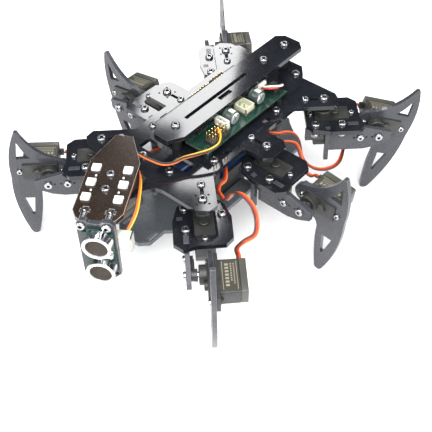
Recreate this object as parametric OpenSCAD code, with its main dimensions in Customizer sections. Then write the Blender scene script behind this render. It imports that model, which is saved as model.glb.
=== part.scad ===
// Six-legged walking robot: laser-cut plates, thirteen micro servos, a turning head
// with a distance sensor. X points to the head, Y to the left side, Z up; the lowest
// foot stands at Z = 0. Heights inside the modules are counted from the top face of
// the upper frame plate and moved up to the floor datum at the end of the file.

/* [Plates] */
// Thickness of every laser-cut plate
plate_t = 3; // [2.5:0.1:3.2]
// Hip axis pitch along the body
hip_pitch = 60; // [58:0.5:66]
// Hip axis distance from the centre line
hip_y = 41.8; // [41:0.1:46]
// Gap between the upper and the lower frame plate
frame_gap = 38; // [37.5:0.5:44]

/* [Servos] */
// Length of the servo case
servo_l = 22.8; // [22.4:0.1:23]
// Width of the servo case
servo_w = 12.2; // [11.8:0.1:12.6]
// Shaft axis distance from the near end of the case
shaft_x = 5.9; // [5.7:0.1:6.1]
// Servo horn screw spacing
horn_pitch = 12.2; // [11:0.1:13]

/* [Legs] */
// Claw joint distance from the hip axis
claw_r = 36.2; // [35:0.1:40]
// Claw joint height from the top of the upper frame plate
claw_z = -24.1; // [-25:0.1:-23]
// Claw angle, front right
claw_fr = 19.8; // [0:0.1:25]
// Claw angle, middle right
claw_mr = 4.7; // [0:0.1:25]
// Claw angle, rear right
claw_rr = 5; // [0:0.1:25]
// Claw angle, front left
claw_fl = 10; // [0:0.1:25]
// Claw angle, middle left
claw_ml = 10.2; // [0:0.1:25]
// Claw angle, rear left
claw_rl = 0; // [0:0.1:25]

/* [Head] */
// Pan axis distance ahead of the body centre
pan_x = 90.5; // [90:0.5:94]
// Head yaw as stored
head_yaw = 31.5; // [0:0.5:40]
// Diameter of each transducer can
can_d = 16.4; // [15.5:0.1:17]
// Spacing of the two transducer cans
can_pitch = 20.5; // [19.5:0.1:22]

/* [Hidden] */
$fn = 48;

// datum shift: body centre and lowest foot to the origin
shift = [-10.27, 0.48, 83.17];
// stack heights above the servo flange's top face
s_hub = 9.2; s_arm = 11.2; s_top = 13;
// z of the hip servo flange's top face and the y of the claw servo's
hip_flange = -(plate_t + s_top);
claw_flange = -3.5;
coxa_top = hip_flange + plate_t;
leg_n = claw_flange + s_top;
cover_z = 14.5;
lower_z = -plate_t - frame_gap;
hole_in = -8.25; hole_out = 18.85;
// legs: [hip x, side (1 right, -1 left), yaw, claw angle]
FR = [hip_pitch, 1, -44.6, claw_fr];
MR = [0, 1, -91.5, claw_mr];
RR = [-hip_pitch, 1, -135, claw_rr];
FL = [hip_pitch, -1, -44.7, claw_fl];
ML = [0, -1, -89.4, claw_ml];
RL = [-hip_pitch, -1, -133.3, claw_rl];
legs = [FR, MR, RR, FL, ML, RL];
standoff_xy = [[30.5, 25.3], [30.5, -25.3], [-30.5, 25.3], [-30.5, -25.3]];
cover_x = [-71, -49, 36];
tie_xy = [[54.8, 10.9], [-69.3, 11.7]];

/* placing helpers */
module side(s) { if (s > 0) children(); else mirror([0, 1, 0]) children(); }
// hip axis frame of one leg: X along the leg, Y to the robot's front
module leg(L) { side(L[1]) translate([L[0], -hip_y, 0]) rotate([0, 0, L[2]]) children(); }
// claw joint frame: Z is the joint axis, origin at the claw servo's flange
module claw_axis() { translate([claw_r, claw_flange, claw_z]) rotate([-90, 0, 0]) children(); }
module claw_frame(L) { translate([claw_r, claw_flange, claw_z]) rotate([0, -L[3], 0]) rotate([-90, 0, 0]) children(); }
module head() { translate([pan_x, 0, 0]) rotate([0, 0, head_yaw]) children(); }

// neutral hip frame on the chassis
module at_hip(L) { side(L[1]) translate([L[0], -hip_y, 0]) rotate([0, 0, L[2] > -60 ? -45 : L[2] < -120 ? -135 : -90]) children(); }

/* shared pieces */
// micro servo case: shaft axis at the origin, flange top at z = 0, long end along +X
module servo_case() {
  c = servo_l / 2 - shaft_x;
  difference() {
    union() {
      translate([-shaft_x, -servo_w / 2, -18.4]) cube([servo_l, servo_w, 22.5]);
      translate([c - 16.1, -servo_w / 2, -2.5]) cube([32.2, servo_w, 2.5]);
      translate([0, 0, 4]) cylinder(r = 5.9, h = 4.6);
      translate([7.6, 0, 4]) cylinder(r = 2.9, h = 2);
      translate([-8.6, -1.6, -16.4]) cube([3, 3.2, 2.6]);
    }
    translate([0, 0, -0.5]) cylinder(r = 2.45, h = 12);
    for (x = [hole_in, hole_out]) translate([x, 0, -4]) cylinder(r = 1.1, h = 6);
  }
}
// single-arm horn on its output shaft, arm towards -X
module horn(hub, arm, top) {
  difference() {
    union() {
      translate([0, 0, hub]) cylinder(r = 3.5, h = top - hub);
      translate([-horn_pitch, -2.1, arm]) cube([horn_pitch, 4.2, top - arm]);
      translate([-horn_pitch, 0, arm]) cylinder(r = 2.1, h = top - arm);
    }
    translate([0, 0, hub - 1]) cylinder(r = 2.44, h = top - hub - 0.2);
    translate([0, 0, hub]) cylinder(r = 1.2, h = top - hub + 2);
    translate([-horn_pitch, 0, arm - 1]) cylinder(r = 0.9, h = 6);
  }
  difference() {
    translate([0, 0, 0]) cylinder(r = 2.4, h = top - 1.3);
    translate([0, 0, top - 6]) cylinder(r = 1, h = 6);
  }
}
// pan-head screw along -Z, head on z = 0
module screw(l, r = 1.45, hr = 2.75, hh = 1.8) {
  difference() {
    cylinder(r = hr, h = hh);
    translate([0, 0, hh - 1]) cylinder(r = 1.25, h = 2, $fn = 6);
  }
  translate([0, 0, -l]) cylinder(r = r, h = l);
}
module nut(t = 2.4) { difference() { cylinder(r = 3.17, h = t, $fn = 6); translate([0, 0, -1]) cylinder(r = 1.6, h = t + 2); } }
// flat lead swept along a route
function unit(v) = v / norm(v);
function tangent(p, i) = unit(p[min(i + 1, len(p) - 1)] - p[max(i - 1, 0)]);
module tube(p, r, n = 8) {
  pts = [for (i = [0:len(p) - 1]) let (t = tangent(p, i), h = abs(t[2]) > 0.9 ? [1, 0, 0] : [0, 0, 1], u = unit(cross(h, t)), v = cross(t, u))
    for (k = [0:n - 1]) p[i] + r * (cos(360 * k / n) * u + sin(360 * k / n) * v)];
  m = len(p);
  polyhedron(points = pts, faces = concat(
    [[for (k = [0:n - 1]) n - 1 - k]],
    [for (i = [0:m - 2]) for (k = [0:n - 1]) [i * n + k, i * n + (k + 1) % n, (i + 1) * n + (k + 1) % n, (i + 1) * n + k]],
    [[for (k = [0:n - 1]) (m - 1) * n + k]]));
}

/* chassis */
frame_half = [[104, 6], [101, 9.5], [78, 9.5], [70.5, 14], [69, 18], [69, 44.5], [64.5, 51], [58, 51.6], [40, 32.6], [10.5, 32.6],
  [10.5, 47], [6.5, 51.6], [-6.5, 51.6], [-10.5, 47], [-10.5, 32.6], [-40, 32.6], [-58, 51.6], [-64.5, 51], [-69, 44.5], [-69, 18], [-72, 16], [-79, 10], [-79, 5]];
function mirrored(h) = concat(h, [for (i = [len(h) - 1:-1:0]) [h[i][0], -h[i][1]]]);
module upper_frame_plate() color([0.09, 0.09, 0.1]) difference() {
  translate([0, 0, -plate_t]) linear_extrude(plate_t) polygon(mirrored(frame_half));
  for (L = legs) at_hip(L) translate([0, 0, -4]) {
    cylinder(r = 1.6, h = 6);
    translate([-horn_pitch, 0, 0]) cylinder(r = 1.6, h = 6);
    translate([-9.4, -1.1, 0]) cube([5.6, 2.2, 6]);
    for (a = [45, 135, 225, 315]) translate([5.2 * cos(a), 5.2 * sin(a), 0]) cylinder(r = 0.7, h = 6);
  }
  for (p = standoff_xy) translate([p[0], p[1], -4]) cylinder(r = 1.6, h = 6);
  for (x = cover_x) translate([x, 0, -4]) cylinder(r = 1.6, h = 6);
  // head servo seat
  translate([pan_x - (servo_l - shaft_x) - 0.2, -servo_w / 2 - 0.2, -4]) cube([servo_l + 0.4, servo_w + 0.4, 6]);
  for (x = [pan_x - hole_out, pan_x - hole_in]) translate([x, 0, -4]) cylinder(r = 0.95, h = 6);
  // lightening windows and the lead slots
  for (s = [1, -1]) {
    for (e = [1, -1]) translate([0, 0, -4]) linear_extrude(6) polygon([[40.5 * e, 6 * s], [49.5 * e, 6 * s], [49.5 * e, 19.5 * s], [40.5 * e, 19.5 * s]]);
    for (p = tie_xy) translate([p[0], p[1] * s, -4]) cylinder(r = 1.6, h = 6);
    translate([16, 26.5 * s - 1.5, -4]) cube([6, 3, 6]);
    translate([-22, 26.5 * s - 1.5, -4]) cube([6, 3, 6]);
  }
}
lower_half = [[84, 8], [79, 13.5], [66, 13.5], [60, 20], [52, 31.5], [-52, 31.5], [-60, 20], [-66, 12], [-70, 8]];
module lower_frame_plate() color([0.1, 0.1, 0.11]) difference() {
  translate([0, 0, lower_z - plate_t]) linear_extrude(plate_t) polygon(mirrored(lower_half));
  for (p = standoff_xy) translate([p[0], p[1], lower_z - 4]) cylinder(r = 1.6, h = 6);
  for (s = [1, -1]) translate([68.5, 11 * s - 1.1, lower_z - 4]) cube([9.5, 2.2, 6]);
  // free holes for an accessory
  for (x = [-45, 45]) for (s = [1, -1]) translate([x, 14 * s, lower_z - 4]) cylinder(r = 1.6, h = 6);
  for (x = [-16.5, 16.5]) for (s = [1, -1]) translate([x - 4, 26 * s - 1.5, lower_z - 4]) cube([8, 3, 6]);
}
cover_half = [[49.5, 5.5], [40, 11], [-75.5, 11], [-80, 6]];
module cover_plate() color([0.08, 0.08, 0.09]) difference() {
  translate([0, 0, cover_z]) linear_extrude(plate_t) polygon(mirrored(cover_half));
  for (x = cover_x) translate([x, 0, cover_z - 1]) cylinder(r = 1.6, h = 6);
  translate([-31, -1.25, cover_z - 1]) cube([58, 2.5, 6]);
  translate([-11, 2.2, cover_z - 1]) cube([11, 3.2, 6]);
}
module hex_post(h, r = 3.17) difference() { cylinder(r = r, h = h, $fn = 6); translate([0, 0, -1]) cylinder(r = 1.5, h = h + 2); }
module frame_standoffs() color([0.72, 0.6, 0.3]) {
  for (p = standoff_xy) translate([p[0], p[1], lower_z]) hex_post(frame_gap);
  for (x = cover_x) translate([x, 0, 0]) hex_post(cover_z);
}
module frame_screws() color([0.62, 0.63, 0.65]) {
  for (p = standoff_xy) {
    translate([p[0], p[1], 0]) screw(8);
    translate([p[0], p[1], lower_z - plate_t]) rotate([180, 0, 0]) screw(8);
  }
  for (s = [1, -1]) for (p = tie_xy) { translate([p[0], p[1] * s, 0]) screw(7); translate([p[0], p[1] * s, -plate_t - 2.4]) nut(); }
  for (x = cover_x) { translate([x, 0, cover_z + plate_t]) screw(7); translate([x, 0, -plate_t]) rotate([180, 0, 0]) screw(8); }
  for (L = legs) at_hip(L) {
    screw(6, r = 0.95);
    translate([-horn_pitch, 0, 0]) screw(4.6, r = 0.85, hr = 2.4, hh = 1.5);
  }
  for (x = [pan_x - hole_out, pan_x - hole_in]) translate([x, 0, 2.5]) screw(5.4, r = 0.9, hr = 1.85, hh = 1.3);
}
module hip_horns() color([0.85, 0.85, 0.82])
  for (L = legs) at_hip(L) translate([0, 0, hip_flange]) horn(s_hub, s_arm, s_top);
module control_board() color([0.05, 0.25, 0.16]) {
  difference() {
    translate([-44, -21.5, 5]) cube([78, 45, 1.6]);
    for (x = [-40, 30]) for (y = [-17.5, 19.5]) translate([x, y, 4]) cylinder(r = 1.6, h = 4);
    // clears the middle screw post
    translate([-49, 0, 4]) cylinder(r = 5.5, h = 4);
    translate([36, 0, 4]) cylinder(r = 5.5, h = 4);
  }
  for (x = [-40, 30]) for (y = [-17.5, 19.5]) translate([x, y, 0]) difference() { cylinder(r = 2.6, h = 5); translate([0, 0, -1]) cylinder(r = 1.5, h = 8); }
}
module board_parts() color([0.8, 0.8, 0.78]) {
  // two lying can capacitors
  for (x = [2.5, -23]) translate([x, 11.2, 6.6 + 4.7]) rotate([-90, 0, 0]) cylinder(r = 4.6, h = 7.6);
  // plug headers beside them
  translate([-38, -2, 6.6]) cube([9, 13, 7]);
  translate([-16.5, 9, 6.6]) cube([9, 10, 5]);
  translate([-16.5, -18, 6.6]) cube([24, 13, 3]);
  translate([7.5, 9, 6.6]) cube([4, 10, 6]);
  // servo pin rows
  for (y = [21.3, 18.6, 15.9]) translate([12, y - 1.2, 6.6]) cube([16, 2.4, 2.6]);
  for (y = [-20.5, -17.8]) translate([-30, y - 0.1, 6.6]) cube([11, 2.4, 2.6]);
  // voltage regulator block and radio socket
  translate([14, -16, 6.6]) cube([14, 22, 4.2]);
}
module battery_pack() color([0.12, 0.12, 0.13]) {
  difference() {
    translate([-38, -21, lower_z]) cube([76, 42, 15]);
    translate([-36, -19.4, lower_z + 1.5]) cube([72, 38.8, 20]);
  }
  for (y = [-9.65, 9.65]) translate([-33, y, lower_z + 1.6 + 9.2]) rotate([0, 90, 0]) cylinder(r = 9.2, h = 66);
}
module head_servo() color([0.16, 0.17, 0.17]) translate([pan_x, 0, 2.5]) rotate([0, 0, 180]) servo_case();

/* leads on the chassis: the sensor bundle and one stub to each hip */
bundle = [[17, 17, 12], [20.5, 22.4, 12], [26, 26, 11], [32, 25.2, 10], [40, 20.5, 9], [47, 15.5, 8], [53, 13.2, 7.3], [58, 9.5, 7.6], [61.2, 2, 9], [63.5, -7, 10.6]];
stub_hip = [[-28, -5.5, -19.5], [-23, -5.5, -23], [-18.6, -5.5, -25]];
stub_front = [[-27.5, -15, -11.8], [-24, -11.5, -12.4], [-18.2, -10.2, -12.2]];
module lead_harness() color([0.9, 0.55, 0.15]) {
  tube(bundle, 1.6);
  for (L = [FR, MR, RR]) at_hip(L) tube(stub_hip, 1.3);
  at_hip(FL) tube(stub_front, 1.3);
  tube([[-9, 24, -16], [-14, 30.5, -15.8], [-19.6, 34.3, -15]], 1.3);
  tube([[-14, 23, -8.2], [-18.5, 29.5, -8.6], [-22.4, 33.2, -9.6]], 1.3);
}

/* head */
head_half = [[-34, 5.2], [-21.4, 10.4], [-11.5, 14.5], [29.5, 14.3], [34.5, 11.5], [36.5, 9]];
module head_horn() color([0.6, 0.61, 0.63]) {
  translate([pan_x, 0, 2.5]) rotate([0, 0, head_yaw + 180]) horn(9, 10, 11.5);
  head() {
    translate([0, 0, 17]) screw(6.5, r = 0.95, hr = 2.6);
    translate([horn_pitch, 0, 17]) screw(5.4, r = 0.85, hr = 2.6);
    for (s = [1, -1]) {
      translate([39.5, 7.2 * s, 15.5]) rotate([0, 90, 0]) screw(12, hh = 1.4);
      translate([28.4, 7.2 * s, 15.5]) rotate([0, 90, 0]) nut(2.2);
    }
  }
}
module head_plate() color([0.12, 0.09, 0.07]) head() difference() {
  translate([0, 0, 14]) linear_extrude(plate_t) polygon(mirrored(head_half));
  translate([0, 0, 13]) cylinder(r = 1.3, h = 6);
  translate([horn_pitch, 0, 13]) cylinder(r = 1.1, h = 6);
  for (s = [1, -1]) {
    translate([26.5, 7.2 * s - 1.6, 13]) cube([11, 3.2, 6]);
    translate([28.2, 7.2 * s - 2.85, 13]) cube([2.6, 5.7, 6]);
  }
}
module head_leds() color([0.93, 0.93, 0.9]) head() {
  for (x = [-4, 8, 19.8]) for (s = [1, -1]) translate([x - 2.6, 9.3 * s - 2.6, 17]) cube([5.2, 5.2, 1.6]);
  for (x = [2.2, 14]) for (s = [1, -1]) translate([x - 0.7, 8 * s - 0.7, 17]) cube([1.4, 1.4, 0.6]);
}
module sensor_plate() color([0.36, 0.36, 0.38]) head() difference() {
  translate([36.5, 0, 0]) rotate([90, 0, 90]) linear_extrude(plate_t)
    polygon([[-9.8, 17], [-7.5, 19.6], [-4, 19.6], [-2.5, 17.8], [3.5, 17.8], [5, 19.6], [9.5, 19.6], [11.8, 17], [11.8, -22], [6.5, -27], [-4.5, -27], [-9.8, -22]]);
  for (s = [1, -1]) translate([35, 7.2 * s, 15.5]) rotate([0, 90, 0]) cylinder(r = 1.6, h = 8);
  for (y = [-7.2, 9.2]) translate([35, y, -21.6]) rotate([0, 90, 0]) cylinder(r = 1.3, h = 8);
}
module sensor_board() color([0.05, 0.3, 0.2]) head() {
  difference() {
    translate([39.5, -7.2, -22.5]) cube([1.5, 19.6, 37.6]);
    for (s = [1, -1]) translate([39, 7.2 * s, 15.5]) rotate([0, 90, 0]) cylinder(r = 3.1, h = 3);
    for (y = [-7.2, 9.2]) translate([39, y, -21.6]) rotate([0, 90, 0]) cylinder(r = 2, h = 3);
  }
  // four-way plug behind the plate
  translate([28.5, 9, -5]) cube([8, 10, 10]);
}
module sensor_lead() color([0.9, 0.6, 0.15]) head() tube([[-27, 4.5, 11], [-19, 9, 10.8], [-8, 14.5, 9.8], [6, 17, 8.5], [18, 17.5, 5.8], [25, 15.2, 1.6], [27.7, 14, 0.3]], 1.5);
module transducers() color([0.8, 0.81, 0.82]) head()
  for (z = [6.8, 6.8 - can_pitch]) translate([41, 2.6, z]) rotate([0, 90, 0]) difference() {
    cylinder(r = can_d / 2, h = 6.8);
    translate([0, 0, 5.6]) cylinder(r = can_d / 2 - 1.9, h = 3);
  }

/* legs */
coxa_out = [[-12, -9.5], [-12, 10], [-8, 15.5], [4, 18.5], [21.5, 18.5], [26.5, 13], [24, 5], [24, -12], [19, -16.5], [2, -16.5], [-8, -13]];
module coxa_plate() color([0.09, 0.09, 0.1]) difference() {
  translate([0, 0, hip_flange]) linear_extrude(plate_t) polygon(coxa_out);
  translate([-shaft_x - 0.1, -servo_w / 2 - 0.1, hip_flange - 1]) cube([servo_l + 0.2, servo_w + 0.2, 6]);
  for (x = [hole_in, hole_out]) translate([x, 0, hip_flange - 1]) cylinder(r = 1.15, h = 6);
  for (x = [-6, 11.3]) translate([x, leg_n + 1.5, hip_flange - 1]) cylinder(r = 1.6, h = 6);
  translate([0, -11, hip_flange - 1]) cylinder(r = 1.6, h = 6);
  // tenon mortise
  translate([15, leg_n - 0.05, hip_flange - 1]) cube([7, 3.1, 6]);
  translate([0.2, leg_n + 2.95, hip_flange - 1]) cube([3, 3.4, 6]);
}
leg_out = [[-12.5, -16], [27, -16], [44.5, -20.8], [43.8, -27.5], [34.5, -32.2], [27, -34], [4, -34], [4, -24.5], [-12.5, -24.5]];
module leg_plate() color([0.33, 0.33, 0.35]) {
  difference() {
    union() {
      translate([0, leg_n + 3, 0]) rotate([90, 0, 0]) linear_extrude(plate_t) polygon([for (p = leg_out) [p[0], p[1] + 16 + hip_flange]]);
      translate([15.1, leg_n, hip_flange - 0.5]) cube([6.8, plate_t, plate_t + 0.8]);
    }
    for (x = [claw_r, claw_r - horn_pitch]) translate([x, leg_n - 1, claw_z]) rotate([-90, 0, 0]) cylinder(r = 1.6, h = 6);
    for (k = [1, 2, 4]) translate([claw_r - horn_pitch * k / 3, leg_n - 1, claw_z]) rotate([-90, 0, 0]) cylinder(r = 0.75, h = 6);
    for (x = [-6, 11.3]) {
      translate([x - 1.6, leg_n - 1, hip_flange - 7]) cube([3.2, 6, 8]);
      translate([x - 2.85, leg_n - 1, hip_flange - 5.6]) cube([5.7, 6, 2.6]);
    }
  }
  // cross brace beside the hip servo, seen edge-on from the front
  translate([0.3, leg_n + 3.05, hip_flange - 23.5]) cube([2.8, 3.2, 26.3]);
}
module leg_screws() {
  for (x = [-6, 11.3]) {
    translate([x, leg_n + 1.5, coxa_top]) screw(9.8);
    translate([x, leg_n + 1.5, hip_flange - 5.5]) rotate([0, 0, 30]) nut(2.4);
  }
  translate([0, -11, coxa_top]) screw(7);
  translate([0, -11, hip_flange - 2.4]) nut(2.4);
  for (x = [hole_in, hole_out]) translate([x, 0, coxa_top]) screw(5.3, r = 1, hr = 1.85, hh = 1.5);
}
module claw_horn() color([0.75, 0.75, 0.74]) {
  claw_axis() {
    horn(s_hub, s_arm, s_top);
    translate([0, 0, s_top + plate_t]) screw(6, r = 0.95, hr = 2.6);
    translate([-horn_pitch, 0, s_top + plate_t]) screw(4.6, r = 0.85, hr = 2.4, hh = 1.5);
  }
  leg_screws();
}
module hip_servo() color([0.16, 0.17, 0.17]) translate([0, 0, hip_flange]) servo_case();

// claw outline: rounded inner lobe, upper horn, long foot
tip = [26.4, 26.2];
foot_c = [-1.6, -56.2];
function arc2(c, r, a0, a1, n) = [for (i = [0:n]) c + r * [cos(a0 + (a1 - a0) * i / n), sin(a0 + (a1 - a0) * i / n)]];
function bez(a, b, c, n) = [for (i = [0:n]) let (t = i / n) (1 - t) * (1 - t) * a + 2 * t * (1 - t) * b + t * t * c];
claw_pts = concat(
  bez([27.2, 25.4], [29.6, 8], [22.6, -10.8], 8),
  bez([20.6, -18.6], [15.2, -38], [1.4, -57.2], 8),
  arc2(foot_c, 2.9, -30, -185, 6),
  bez([-4.2, -52], [-2.6, -32], [1.2, -19.6], 5),
  [[0.6, -15.6], [-1.8, -12.2]],
  arc2([-5.6, 2.6], 7.6, -135, -270, 8),
  bez([0, 10.8], [14, 12.2], [25.4, 26.1], 8));
module claw(L) color([0.33, 0.33, 0.35]) claw_frame(L) difference() {
  linear_extrude(plate_t) mirror([0, 1, 0]) difference() {
    polygon(claw_pts);
    polygon(concat([[24.6, 18.2], [22, 4.4]], bez([13.2, 7.4], [18, 9.5], [23.2, 16.6], 4)));
    polygon([[4.6, -26], [11.6, -28], [2.9, -42.2], [1.7, -41.6]]);
  }
  rotate([0, 0, 16.4]) {
    translate([-shaft_x - 0.1, -servo_w / 2 - 0.1, -1]) cube([servo_l + 0.2, servo_w + 0.2, 6]);
    for (x = [hole_in, hole_out]) translate([x, 0, -1]) cylinder(r = 1.1, h = 6);
  }
}
module claw_servo(L) color([0.17, 0.18, 0.17]) claw_frame(L) rotate([0, 0, 16.4]) {
  servo_case();
  for (x = [hole_in, hole_out]) translate([x, 0, plate_t]) screw(5.3, r = 1, hr = 1.85, hh = 1.5);
}
// servo leads, from the chassis side to the boot of the claw servo, in the leg's frame
function boot(L) = let (a = L[3] - 16.4) [claw_r - 8.9 * cos(a), claw_flange - 15.1, claw_z - 8.9 * sin(a)];
low_run = [[-16.6, -6, -24.8], [-13, -10.5, -26], [-6, -16, -29], [3, -20, -32], [12, -21.5, -31], [20, -20.5, -27]];
high_run = [[-17, -10.5, -12], [-8.5, -13.4, -9.9], [-4.5, -17.4, -0.8], [1, -22.2, 3.6], [8, -27.8, 1.2], [14, -30.1, -5.6], [21.5, -28.2, -9.3], [24.6, -21.5, -11.4], [23.7, -17.7, -18]];
rear_run = [[-31.2, 21.5, -10], [-25, 18.4, -11.7], [-20.2, 17.5, -14.5], [-17.1, 18.5, -19.5], [-14.6, 21.5, -30.9], [-11.8, 22.6, -35.9], [-5.5, 22.5, -41], [3.2, 19.6, -44.2], [10.9, 13.8, -44.6], [15.5, 4, -42.4], [18.5, -7, -35], [20.6, -16, -25.4]];
mid_run = [[-6.4, -20.9, -15], [-1.2, -24.2, -13.7], [3.4, -25.6, -13.5], [7.6, -23.8, -15], [12, -20.8, -17.5], [17.5, -17.4, -22.4], [22.5, -18, -24.6]];
module servo_lead(L, run) color([0.85, 0.4, 0.15]) tube(concat(run, [boot(L) + 2.4 * [-cos(L[3] - 16.4), 0, -sin(L[3] - 16.4)], boot(L)]), 1.3);

module coxa_plate_front_right() leg(FR) coxa_plate();
module leg_plate_front_right() leg(FR) leg_plate();
module hip_servo_front_right() leg(FR) hip_servo();
module claw_horn_front_right() leg(FR) claw_horn();
module claw_front_right() leg(FR) claw(FR);
module claw_servo_front_right() leg(FR) claw_servo(FR);
module servo_lead_front_right() leg(FR) servo_lead(FR, low_run);
module coxa_plate_middle_right() leg(MR) coxa_plate();
module leg_plate_middle_right() leg(MR) leg_plate();
module hip_servo_middle_right() leg(MR) hip_servo();
module claw_horn_middle_right() leg(MR) claw_horn();
module claw_middle_right() leg(MR) claw(MR);
module claw_servo_middle_right() leg(MR) claw_servo(MR);
module servo_lead_middle_right() leg(MR) servo_lead(MR, low_run);
module coxa_plate_rear_right() leg(RR) coxa_plate();
module leg_plate_rear_right() leg(RR) leg_plate();
module hip_servo_rear_right() leg(RR) hip_servo();
module claw_horn_rear_right() leg(RR) claw_horn();
module claw_rear_right() leg(RR) claw(RR);
module claw_servo_rear_right() leg(RR) claw_servo(RR);
module servo_lead_rear_right() leg(RR) servo_lead(RR, low_run);
module coxa_plate_front_left() leg(FL) coxa_plate();
module leg_plate_front_left() leg(FL) leg_plate();
module hip_servo_front_left() leg(FL) hip_servo();
module claw_horn_front_left() leg(FL) claw_horn();
module claw_front_left() leg(FL) claw(FL);
module claw_servo_front_left() leg(FL) claw_servo(FL);
module servo_lead_front_left() leg(FL) servo_lead(FL, high_run);
module coxa_plate_middle_left() leg(ML) coxa_plate();
module leg_plate_middle_left() leg(ML) leg_plate();
module hip_servo_middle_left() leg(ML) hip_servo();
module claw_horn_middle_left() leg(ML) claw_horn();
module claw_middle_left() leg(ML) claw(ML);
module claw_servo_middle_left() leg(ML) claw_servo(ML);
module servo_lead_middle_left() leg(ML) servo_lead(ML, mid_run);
module coxa_plate_rear_left() leg(RL) coxa_plate();
module leg_plate_rear_left() leg(RL) leg_plate();
module hip_servo_rear_left() leg(RL) hip_servo();
module claw_horn_rear_left() leg(RL) claw_horn();
module claw_rear_left() leg(RL) claw(RL);
module claw_servo_rear_left() leg(RL) claw_servo(RL);
module servo_lead_rear_left() leg(RL) servo_lead(RL, rear_run);

translate(shift) upper_frame_plate();
translate(shift) lower_frame_plate();
translate(shift) cover_plate();
translate(shift) frame_standoffs();
translate(shift) frame_screws();
translate(shift) hip_horns();
translate(shift) control_board();
translate(shift) board_parts();
translate(shift) battery_pack();
translate(shift) head_servo();
translate(shift) lead_harness();
translate(shift) head_horn();
translate(shift) head_plate();
translate(shift) head_leds();
translate(shift) sensor_lead();
translate(shift) sensor_plate();
translate(shift) sensor_board();
translate(shift) transducers();
translate(shift) coxa_plate_front_right();
translate(shift) leg_plate_front_right();
translate(shift) hip_servo_front_right();
translate(shift) claw_horn_front_right();
translate(shift) claw_front_right();
translate(shift) claw_servo_front_right();
translate(shift) servo_lead_front_right();
translate(shift) coxa_plate_middle_right();
translate(shift) leg_plate_middle_right();
translate(shift) hip_servo_middle_right();
translate(shift) claw_horn_middle_right();
translate(shift) claw_middle_right();
translate(shift) claw_servo_middle_right();
translate(shift) servo_lead_middle_right();
translate(shift) coxa_plate_rear_right();
translate(shift) leg_plate_rear_right();
translate(shift) hip_servo_rear_right();
translate(shift) claw_horn_rear_right();
translate(shift) claw_rear_right();
translate(shift) claw_servo_rear_right();
translate(shift) servo_lead_rear_right();
translate(shift) coxa_plate_front_left();
translate(shift) leg_plate_front_left();
translate(shift) hip_servo_front_left();
translate(shift) claw_horn_front_left();
translate(shift) claw_front_left();
translate(shift) claw_servo_front_left();
translate(shift) servo_lead_front_left();
translate(shift) coxa_plate_middle_left();
translate(shift) leg_plate_middle_left();
translate(shift) hip_servo_middle_left();
translate(shift) claw_horn_middle_left();
translate(shift) claw_middle_left();
translate(shift) claw_servo_middle_left();
translate(shift) servo_lead_middle_left();
translate(shift) coxa_plate_rear_left();
translate(shift) leg_plate_rear_left();
translate(shift) hip_servo_rear_left();
translate(shift) claw_horn_rear_left();
translate(shift) claw_rear_left();
translate(shift) claw_servo_rear_left();
translate(shift) servo_lead_rear_left();
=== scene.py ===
import math

import bmesh
import bpy
from mathutils import Matrix, Vector


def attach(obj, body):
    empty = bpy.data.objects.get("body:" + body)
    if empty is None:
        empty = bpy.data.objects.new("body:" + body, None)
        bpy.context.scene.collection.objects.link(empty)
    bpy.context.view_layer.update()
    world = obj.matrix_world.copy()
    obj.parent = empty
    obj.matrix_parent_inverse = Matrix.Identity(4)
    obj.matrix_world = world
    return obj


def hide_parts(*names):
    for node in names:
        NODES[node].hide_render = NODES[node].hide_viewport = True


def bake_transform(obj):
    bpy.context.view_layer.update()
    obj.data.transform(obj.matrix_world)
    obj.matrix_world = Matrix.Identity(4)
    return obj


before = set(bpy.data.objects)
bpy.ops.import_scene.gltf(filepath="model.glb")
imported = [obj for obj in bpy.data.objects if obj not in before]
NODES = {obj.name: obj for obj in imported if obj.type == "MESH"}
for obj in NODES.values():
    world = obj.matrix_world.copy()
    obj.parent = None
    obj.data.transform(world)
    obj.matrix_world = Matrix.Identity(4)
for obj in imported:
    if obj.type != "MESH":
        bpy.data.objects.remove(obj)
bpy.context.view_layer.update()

MM = 0.001
SHIFT = Vector((-10.27, 0.48, 83.17))
ROW = Matrix.Scale(MM, 4) @ Matrix.Translation(SHIFT)
rad = math.radians


def row(p):
    return (Vector(p) + SHIFT) * MM


def T(x, y, z):
    return Matrix.Translation((x, y, z))


def RX(a):
    return Matrix.Rotation(rad(a), 4, "X")


def RY(a):
    return Matrix.Rotation(rad(a), 4, "Y")


def RZ(a):
    return Matrix.Rotation(rad(a), 4, "Z")


I4 = Matrix.Identity(4)
FLIP = Matrix.Diagonal((1, -1, 1, 1))

# ---------------------------------------------------------------- materials


def new_mat(name):
    m = bpy.data.materials.new(name)
    m.use_nodes = True
    nt = m.node_tree
    nt.nodes.clear()
    out = nt.nodes.new("ShaderNodeOutputMaterial")
    b = nt.nodes.new("ShaderNodeBsdfPrincipled")
    nt.links.new(b.outputs[0], out.inputs[0])
    return m, nt, b


def coords(nt, scale=(1, 1, 1)):
    tc = nt.nodes.new("ShaderNodeTexCoord")
    mp = nt.nodes.new("ShaderNodeMapping")
    mp.inputs["Scale"].default_value = scale
    nt.links.new(tc.outputs["Object"], mp.inputs[0])
    return mp.outputs[0]


def noise(nt, vec, scale, detail=3.0, rough=0.55):
    n = nt.nodes.new("ShaderNodeTexNoise")
    n.inputs["Scale"].default_value = scale
    n.inputs["Detail"].default_value = detail
    n.inputs["Roughness"].default_value = rough
    nt.links.new(vec, n.inputs["Vector"])
    return n.outputs["Fac"]


def ramp(nt, fac, stops):
    r = nt.nodes.new("ShaderNodeValToRGB")
    el = r.color_ramp.elements
    while len(el) < len(stops):
        el.new(0.5)
    for e, (p, c) in zip(el, stops):
        e.position = p
        e.color = (c, c, c, 1) if isinstance(c, (int, float)) else (*c, 1)
    nt.links.new(fac, r.inputs[0])
    return r.outputs[0]


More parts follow.
